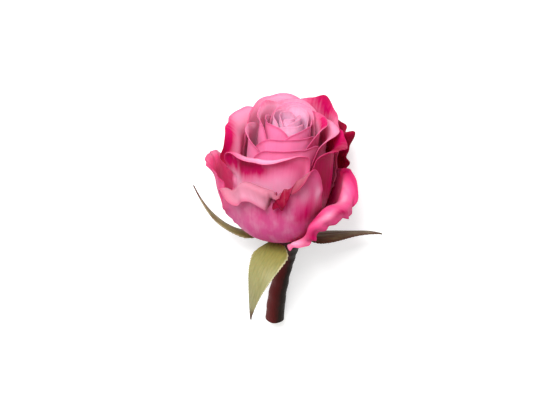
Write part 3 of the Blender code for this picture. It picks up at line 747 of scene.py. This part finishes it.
def petal_material(name, skin, low, high, blush, colours, vein):
    """Living petal skin: matte velvet cells over soft, light-filled tissue with fine veins.

    low and high are its colours by the hip and by the rim, blush is the tint of its margin, and
    skin says which side's stains it shows, the face or the back.
    """
    material = new_material(name)
    tree = material.node_tree
    blade = add_node(tree, "ShaderNodeUVMap", {"uv_map": "blade"})
    # veins run from claw to rim, about 1 mm apart, drawn wide enough to show
    veins_at = add_node(tree, "ShaderNodeMapping", inputs={
        "Vector": blade.outputs["UV"], "Scale": (90.0, 4.5, 1.0)})
    veins = add_node(tree, "ShaderNodeTexNoise", inputs={
        "Vector": veins_at.outputs["Vector"], "Scale": 1.0, "Detail": 3.0, "Roughness": 0.55})
    # cloudy patches 5 mm across and 9 mm long
    clouds_at = add_node(tree, "ShaderNodeMapping", inputs={
        "Vector": blade.outputs["UV"], "Scale": (20.0, 11.0, 1.0)})
    clouds = add_node(tree, "ShaderNodeTexNoise", inputs={
        "Vector": clouds_at.outputs["Vector"], "Scale": 1.0, "Detail": 3.0, "Roughness": 0.5})
    # the body colour changes from the hip to the rim
    along = add_node(tree, "ShaderNodeAttribute", {"attribute_name": "along"})
    grown = add_node(tree, "ShaderNodeMapRange", {"interpolation_type": "SMOOTHSTEP"}, {
        "Value": along.outputs["Fac"], "From Min": 0.3, "From Max": 0.8})
    colour = add_node(tree, "ShaderNodeMix", {"data_type": "RGBA"}, {
        "Factor": grown.outputs["Result"], "A": linear(low), "B": linear(high)})
    patches = add_node(tree, "ShaderNodeMapRange", inputs={
        "Value": clouds.outputs["Fac"], "From Min": 0.45, "From Max": 0.72, "To Min": 0.0, "To Max": 0.5})
    colour = add_node(tree, "ShaderNodeMix", {"data_type": "RGBA"}, {
        "Factor": patches.outputs["Result"], "A": colour.outputs["Result"], "B": linear(colours.petal_pale_and_highlight)})
    lines = add_node(tree, "ShaderNodeMapRange", inputs={
        "Value": veins.outputs["Fac"], "From Min": 0.5, "From Max": 0.75, "To Min": 0.0, "To Max": vein})
    colour = add_node(tree, "ShaderNodeMix", {"data_type": "RGBA"}, {
        "Factor": lines.outputs["Result"], "A": colour.outputs["Result"], "B": linear(colours.flush)})
    # each stain is broken up along the veins and clouds so that it fades out in streaks
    ragged = add_node(tree, "ShaderNodeMath", {"operation": "ADD"}, {
        0: veins.outputs["Fac"], 1: clouds.outputs["Fac"]})
    # the pale stains are pale pigment and, on some petals, painted highlights; the hot and dark red ones are
    # pigment and, on some petals, painted shade
    for stain, tint, most in (("blush", blush, 0.8), ("pale_" + skin, colours.petal_pale_and_highlight, 1.0),
                              ("rim", colours.flush, 0.4), ("hot_" + skin, colours.flush, 1.0),
                              ("deep_" + skin, colours.crimson_and_shade, 1.0)):
        mask = add_node(tree, "ShaderNodeAttribute", {"attribute_name": stain})
        broken = add_node(tree, "ShaderNodeMath", {"operation": "MULTIPLY", "use_clamp": True}, {
            0: mask.outputs["Fac"], 1: ragged.outputs["Value"]})
        share = add_node(tree, "ShaderNodeMapRange", inputs={
            "Value": broken.outputs["Value"],
            "From Min": 0.0, "From Max": 0.9, "To Min": 0.0, "To Max": most})
        colour = add_node(tree, "ShaderNodeMix", {"data_type": "RGBA"}, {
            "Factor": share.outputs["Result"], "A": colour.outputs["Result"], "B": linear(tint)})
    # the veins stand a little proud, and a faint pink sheen replaces gloss on grazing skin
    relief = add_node(tree, "ShaderNodeBump", inputs={
        "Height": veins.outputs["Fac"], "Strength": 0.55, "Distance": 0.0003})
    velvet = add_node(tree, "ShaderNodeBsdfPrincipled", inputs={
        "Base Color": colour.outputs["Result"], "Roughness": 0.55, "Specular IOR Level": 0.1,
        "Subsurface Weight": 0.15, "Subsurface Radius": (1.0, 0.3, 0.35), "Subsurface Scale": 0.0012,
        "Sheen Weight": 0.06, "Sheen Roughness": 0.4, "Sheen Tint": linear("#E0608C"),
        "Normal": relief.outputs["Normal"]})
    # light from behind glows through the thin tissue
    glow = add_node(tree, "ShaderNodeBsdfTranslucent", inputs={"Color": colour.outputs["Result"]})
    tissue = add_node(tree, "ShaderNodeMixShader", inputs={
        "Fac": 0.3, 1: velvet.outputs["BSDF"], 2: glow.outputs["BSDF"]})
    add_node(tree, "ShaderNodeOutputMaterial", inputs={"Surface": tissue.outputs["Shader"]})
    return material


def sepal_material(name, colours):
    """Leafy sepal: waxy fibrous green, paler towards the tip, with a pale hem and dry brown patches."""
    material = new_material(name)
    tree = material.node_tree
    across = add_node(tree, "ShaderNodeAttribute", {"attribute_name": "across"})
    along = add_node(tree, "ShaderNodeAttribute", {"attribute_name": "along"})
    blade = add_node(tree, "ShaderNodeUVMap", {"uv_map": "blade"})
    body = add_node(tree, "ShaderNodeMix", {"data_type": "RGBA"}, {
        "Factor": along.outputs["Fac"], "A": linear(colours.sepal_green), "B": linear("#8B8562")})
    # dry patches about 3 mm across spread in from the edges and the tip
    dry = add_node(tree, "ShaderNodeAttribute", {"attribute_name": "dry"})
    spots_at = add_node(tree, "ShaderNodeMapping", inputs={
        "Vector": blade.outputs["UV"], "Scale": (30.0, 9.0, 1.0)})
    spots = add_node(tree, "ShaderNodeTexNoise", inputs={
        "Vector": spots_at.outputs["Vector"], "Scale": 1.0, "Detail": 3.0})
    edge = add_node(tree, "ShaderNodeMapRange", {"interpolation_type": "SMOOTHSTEP"}, {
        "Value": across.outputs["Fac"], "From Min": 0.7, "From Max": 1.0, "To Min": 0.0, "To Max": 0.15})
    tip = add_node(tree, "ShaderNodeMapRange", {"interpolation_type": "SMOOTHSTEP"}, {
        "Value": along.outputs["Fac"], "From Min": 0.82, "From Max": 1.0, "To Min": 0.0, "To Max": 1.0})
    total = dry.outputs["Fac"]
    for part in (edge.outputs["Result"], tip.outputs["Result"], spots.outputs["Fac"]):
        total = add_node(tree, "ShaderNodeMath", {"operation": "ADD"}, {0: total, 1: part}).outputs["Value"]
    browned = add_node(tree, "ShaderNodeMapRange", {"interpolation_type": "SMOOTHSTEP"}, {
        "Value": total, "From Min": 0.7, "From Max": 1.5, "To Min": 0.0, "To Max": 1.0})
    # a thin papery hem, browned over where the sepal is dry
    hem = add_node(tree, "ShaderNodeMapRange", inputs={
        "Value": across.outputs["Fac"], "From Min": 0.9, "From Max": 0.97, "To Min": 0.0, "To Max": 0.6})
    colour = add_node(tree, "ShaderNodeMix", {"data_type": "RGBA"}, {
        "Factor": hem.outputs["Result"], "A": body.outputs["Result"], "B": linear("#D3CBA4")})
    colour = add_node(tree, "ShaderNodeMix", {"data_type": "RGBA"}, {
        "Factor": browned.outputs["Result"], "A": colour.outputs["Result"], "B": linear(colours.sepal_brown)})
    # lengthwise fibres about 0.7 mm apart
    fibres_at = add_node(tree, "ShaderNodeMapping", inputs={
        "Vector": blade.outputs["UV"], "Scale": (140.0, 18.0, 1.0)})
    fibres = add_node(tree, "ShaderNodeTexNoise", inputs={
        "Vector": fibres_at.outputs["Vector"], "Scale": 1.0, "Detail": 4.0})
    streaks = add_node(tree, "ShaderNodeMapRange", inputs={
        "Value": fibres.outputs["Fac"], "From Min": 0.4, "From Max": 0.75, "To Min": 0.0, "To Max": 0.45})
    colour = add_node(tree, "ShaderNodeMix", {"data_type": "RGBA"}, {
        "Factor": streaks.outputs["Result"], "A": colour.outputs["Result"], "B": linear("#55582A")})
    relief = add_node(tree, "ShaderNodeBump", inputs={
        "Height": fibres.outputs["Fac"], "Strength": 0.5, "Distance": 0.0004})
    waxy = add_node(tree, "ShaderNodeBsdfPrincipled", inputs={
        "Base Color": colour.outputs["Result"], "Roughness": 0.5, "Specular IOR Level": 0.3,
        "Subsurface Weight": 0.08, "Subsurface Scale": 0.001, "Normal": relief.outputs["Normal"]})
    add_node(tree, "ShaderNodeOutputMaterial", inputs={"Surface": waxy.outputs["BSDF"]})
    return material


def stem_material(colours):
    """Young rose wood: satin skin, red brown on one flank and dark green brown on the other, taken almost to
    black as painted shade on the side away from the window.
    """
    material = new_material("satin_rose_bark")
    tree = material.node_tree
    flank = add_node(tree, "ShaderNodeAttribute", {"attribute_name": "flank"})
    cut = add_node(tree, "ShaderNodeAttribute", {"attribute_name": "cut"})
    place = add_node(tree, "ShaderNodeTexCoord")
    # lengthwise fibres about 0.5 mm apart, which blur the line between the flanks
    fibres_at = add_node(tree, "ShaderNodeMapping", inputs={
        "Vector": place.outputs["Object"], "Scale": (1800.0, 160.0, 1800.0)})
    fibres = add_node(tree, "ShaderNodeTexNoise", inputs={
        "Vector": fibres_at.outputs["Vector"], "Scale": 1.0, "Detail": 3.0})
    shifted = add_node(tree, "ShaderNodeMath", {"operation": "MULTIPLY_ADD", "use_clamp": True}, {
        0: fibres.outputs["Fac"], 1: 0.5, 2: flank.outputs["Fac"]})
    # the dark flank's colour is painted shade
    bark = add_node(tree, "ShaderNodeMix", {"data_type": "RGBA"}, {
        "Factor": shifted.outputs["Value"], "A": linear(colours.stem_red), "B": linear(colours.stem_green_shade)})
    # the cut end shows pale wood
    colour = add_node(tree, "ShaderNodeMix", {"data_type": "RGBA"}, {
        "Factor": cut.outputs["Fac"], "A": bark.outputs["Result"], "B": linear("#B9B184")})
    relief = add_node(tree, "ShaderNodeBump", inputs={
        "Height": fibres.outputs["Fac"], "Strength": 0.4, "Distance": 0.0003})
    satin = add_node(tree, "ShaderNodeBsdfPrincipled", inputs={
        "Base Color": colour.outputs["Result"], "Roughness": 0.5, "Specular IOR Level": 0.1,
        "Normal": relief.outputs["Normal"]})
    add_node(tree, "ShaderNodeOutputMaterial", inputs={"Surface": satin.outputs["BSDF"]})
    return material


# ---- the stage ----

def seen_directly(tree):
    """A value that is 1 to the camera and in clear or glossy surfaces, and 0 to all other light."""
    path = add_node(tree, "ShaderNodeLightPath")
    seen = add_node(tree, "ShaderNodeMath", {"operation": "MAXIMUM"}, {
        0: path.outputs["Is Camera Ray"], 1: path.outputs["Is Glossy Ray"]})
    clear = add_node(tree, "ShaderNodeMath", {"operation": "MAXIMUM"}, {
        0: seen.outputs["Value"], 1: path.outputs["Is Transmission Ray"]})
    return clear.outputs["Value"]


def paper_material():
    """Matte white studio paper that shows as white and keeps the shadow."""
    material = new_material("matte_studio_paper")
    tree = material.node_tree
    level = add_node(tree, "ShaderNodeMath", {"operation": "MULTIPLY"}, {
        0: seen_directly(tree), 1: FLOOR_GLOW})
    matte = add_node(tree, "ShaderNodeBsdfDiffuse", inputs={"Color": (0.82, 0.82, 0.82, 1.0)})
    glow = add_node(tree, "ShaderNodeEmission", inputs={
        "Color": (1.0, 1.0, 1.0, 1.0), "Strength": level.outputs["Value"]})
    both = add_node(tree, "ShaderNodeAddShader", inputs={
        0: matte.outputs["BSDF"], 1: glow.outputs["Emission"]})
    add_node(tree, "ShaderNodeOutputMaterial", inputs={"Surface": both.outputs["Shader"]})
    return material


def studio_world():
    """A white surround that lights the flower softly from all sides."""
    world = bpy.data.worlds.new("studio")
    world.use_nodes = True
    tree = world.node_tree
    tree.nodes.clear()
    level = add_node(tree, "ShaderNodeMapRange", inputs={
        "Value": seen_directly(tree), "To Min": SKY_LIGHT, "To Max": 1.0})
    sky = add_node(tree, "ShaderNodeBackground", inputs={
        "Color": (1.0, 1.0, 1.0, 1.0), "Strength": level.outputs["Result"]})
    add_node(tree, "ShaderNodeOutputWorld", inputs={"Surface": sky.outputs["Background"]})
    return world


def add_floor():
    """A large sheet of paper just under the flower."""
    deselect()
    bpy.ops.mesh.primitive_plane_add(size=FLOOR_SIZE * MM, location=(0.0, 0.0, -FLOOR_DROP * MM))
    floor = bpy.context.object
    floor.name = "studio_floor"
    floor.data.materials.append(paper_material())


def add_window(scene):
    """A soft square lamp in front of the flower, up and to its left."""
    lamp = bpy.data.lights.new("window", "AREA")
    lamp.energy = WINDOW_WATTS
    lamp.size = WINDOW_WIDTH * MM
    window = bpy.data.objects.new("window", lamp)
    scene.collection.objects.link(window)
    direction = world_direction(WINDOW_FROM).normalized()
    window.location = Vector(to_world(BLOOM_MIDDLE)) + direction * (WINDOW_DISTANCE * MM)
    window.rotation_euler = direction.to_track_quat("Z", "Y").to_euler()


def add_camera(scene):
    """A long lens that looks down on the lying flower, square across it."""
    rise = math.radians(LENS_RISE)
    back = world_direction((0.0, -math.cos(rise), math.sin(rise)))
    up = world_direction((0.0, math.sin(rise), math.cos(rise)))
    right = up.cross(back)
    target = Vector(to_world((0.0, 0.0, 0.0))) + right * (AIM_RIGHT * MM) + up * (AIM_UP * MM)
    lens = bpy.data.cameras.new("camera")
    lens.lens = LENS_LENGTH
    lens.sensor_width = 36.0
    camera = bpy.data.objects.new("camera", lens)
    scene.collection.objects.link(camera)
    stand = Matrix((right, up, back)).transposed().to_4x4()
    stand.translation = target + back * (LENS_DISTANCE * MM)
    camera.matrix_world = stand
    scene.camera = camera


# ---- operators ----

def petal_group(whorl, cells, faces):
    """Make the petals whose names start with whorl; faces are their back and face materials."""
    shape = bpy.context.scene.rose_shape
    for seed, petal in enumerate(PETALS, start=12):
        if petal[0].startswith(whorl):
            make_petal(petal, seed, cells, faces, shape)


class ROSE_OT_outer_petals(bpy.types.Operator):
    """Add the five wide petals with rolled rims"""
    bl_idname = "rose.outer_petals"
    bl_label = "Outer petals"

    def execute(self, context):
        c = context.scene.rose_colours
        back = petal_material("velvet_outer_back", "back", c.outer_low, c.outer_high, c.outer_high, c, 0.3)
        dusty = petal_material("velvet_lip_face", "face", "#EC5C96", c.lip, c.lip, c, 0.1)
        vivid = petal_material("velvet_outer_face", "face", "#E84A88", "#EF5A94", "#EE4E8E", c, 0.15)
        cells = context.scene.rose_shape.detail * 5 // 4
        petal_group("outer_petal_1", cells, (back, dusty))
        petal_group(
            ("outer_petal_2", "outer_petal_3", "outer_petal_4", "outer_petal_5"), cells, (back, vivid))
        return {"FINISHED"}


class ROSE_OT_middle_petals(bpy.types.Operator):
    """Add the five tall petals inside the outer whorl"""
    bl_idname = "rose.middle_petals"
    bl_label = "Middle petals"

    def execute(self, context):
        c = context.scene.rose_colours
        faces = (petal_material("velvet_middle_back", "back", "#F09ABF", "#F088B4", "#E86899", c, 0.2),
                 petal_material("velvet_middle_face", "face", "#E8619A", "#EFA2C2", "#EE9CBE", c, 0.12))
        petal_group("middle", context.scene.rose_shape.detail * 5 // 6, faces)
        return {"FINISHED"}


class ROSE_OT_inner_petals(bpy.types.Operator):
    """Add the closely wrapped inner petals"""
    bl_idname = "rose.inner_petals"
    bl_label = "Inner petals"

    def execute(self, context):
        c = context.scene.rose_colours
        faces = (petal_material("velvet_inner_back", "back", "#EE84B0", "#F2A0C6", "#EE7EB0", c, 0.15),
                 petal_material("velvet_inner_face", "face", "#E8619A", "#F0AECC", "#F0A8C8", c, 0.1))
        petal_group("inner", context.scene.rose_shape.detail * 2 // 3, faces)
        return {"FINISHED"}


class ROSE_OT_heart_petals(bpy.types.Operator):
    """Add the small pale petals rolled up in the heart"""
    bl_idname = "rose.heart_petals"
    bl_label = "Heart petals"

    def execute(self, context):
        c = context.scene.rose_colours
        faces = (petal_material("velvet_heart_back", "back", "#F09CC8", c.heart, c.heart, c, 0.12),
                 petal_material("velvet_heart_face", "face", "#F080B4", c.heart, c.heart, c, 0.1))
        petal_group("heart", context.scene.rose_shape.detail // 2, faces)
        return {"FINISHED"}


class ROSE_OT_sepals(bpy.types.Operator):
    """Add the five pointed green sepals under the bloom"""
    bl_idname = "rose.sepals"
    bl_label = "Sepals"

    def execute(self, context):
        leafy = sepal_material("waxy_sepal_skin", context.scene.rose_colours)
        for seed, sepal in enumerate(SEPALS):
            make_sepal(sepal, seed, leafy, context.scene.rose_shape)
        return {"FINISHED"}


class ROSE_OT_stem(bpy.types.Operator):
    """Add the short stem and the hip the petals sit on"""
    bl_idname = "rose.stem"
    bl_label = "Stem and hip"

    def execute(self, context):
        piece = extrude_rings("bark_stem", stem_rings())
        roughen_bark(piece)
        piece.data.materials.append(stem_material(context.scene.rose_colours))
        bpy.ops.object.shade_smooth_by_angle(angle=math.radians(50))
        join_frame(piece, "stem")
        return {"FINISHED"}


class ROSE_OT_stage(bpy.types.Operator):
    """Add the pale floor, the soft lights and the camera"""
    bl_idname = "rose.stage"
    bl_label = "Stage"

    def execute(self, context):
        add_floor()
        context.scene.world = studio_world()
        add_window(context.scene)
        add_camera(context.scene)
        context.scene.view_settings.view_transform = "Standard"
        return {"FINISHED"}


class ROSE_PT_panel(bpy.types.Panel):
    """Lists the steps that build the rose"""
    bl_idname = "ROSE_PT_panel"
    bl_label = "Rose"
    bl_space_type = "VIEW_3D"
    bl_region_type = "UI"
    bl_category = "Rose"

    def draw(self, context):
        layout = self.layout
        for group in (context.scene.rose_shape, context.scene.rose_colours):
            for name in group.__annotations__:
                layout.prop(group, name)
        for operator in STEPS:
            layout.operator(operator.bl_idname)


STEPS = (ROSE_OT_stem, ROSE_OT_sepals, ROSE_OT_outer_petals, ROSE_OT_middle_petals,
         ROSE_OT_inner_petals, ROSE_OT_heart_petals, ROSE_OT_stage)
CLASSES = (ROSE_PG_shape, ROSE_PG_colours) + STEPS + (ROSE_PT_panel,)


def register():
    """Add the classes and hang the settings on the scene."""
    for cls in CLASSES:
        bpy.utils.register_class(cls)
    bpy.types.Scene.rose_shape = bpy.props.PointerProperty(type=ROSE_PG_shape)
    bpy.types.Scene.rose_colours = bpy.props.PointerProperty(type=ROSE_PG_colours)


def unregister():
    """Take the settings and the classes away again."""
    del bpy.types.Scene.rose_colours
    del bpy.types.Scene.rose_shape
    for cls in reversed(CLASSES):
        bpy.utils.unregister_class(cls)


def main():
    """Build the rose step by step."""
    register()
    for step in ("stem", "sepals", "outer_petals", "middle_petals", "inner_petals", "heart_petals", "stage"):
        getattr(bpy.ops.rose, step)()


if __name__ == "__main__":
    main()
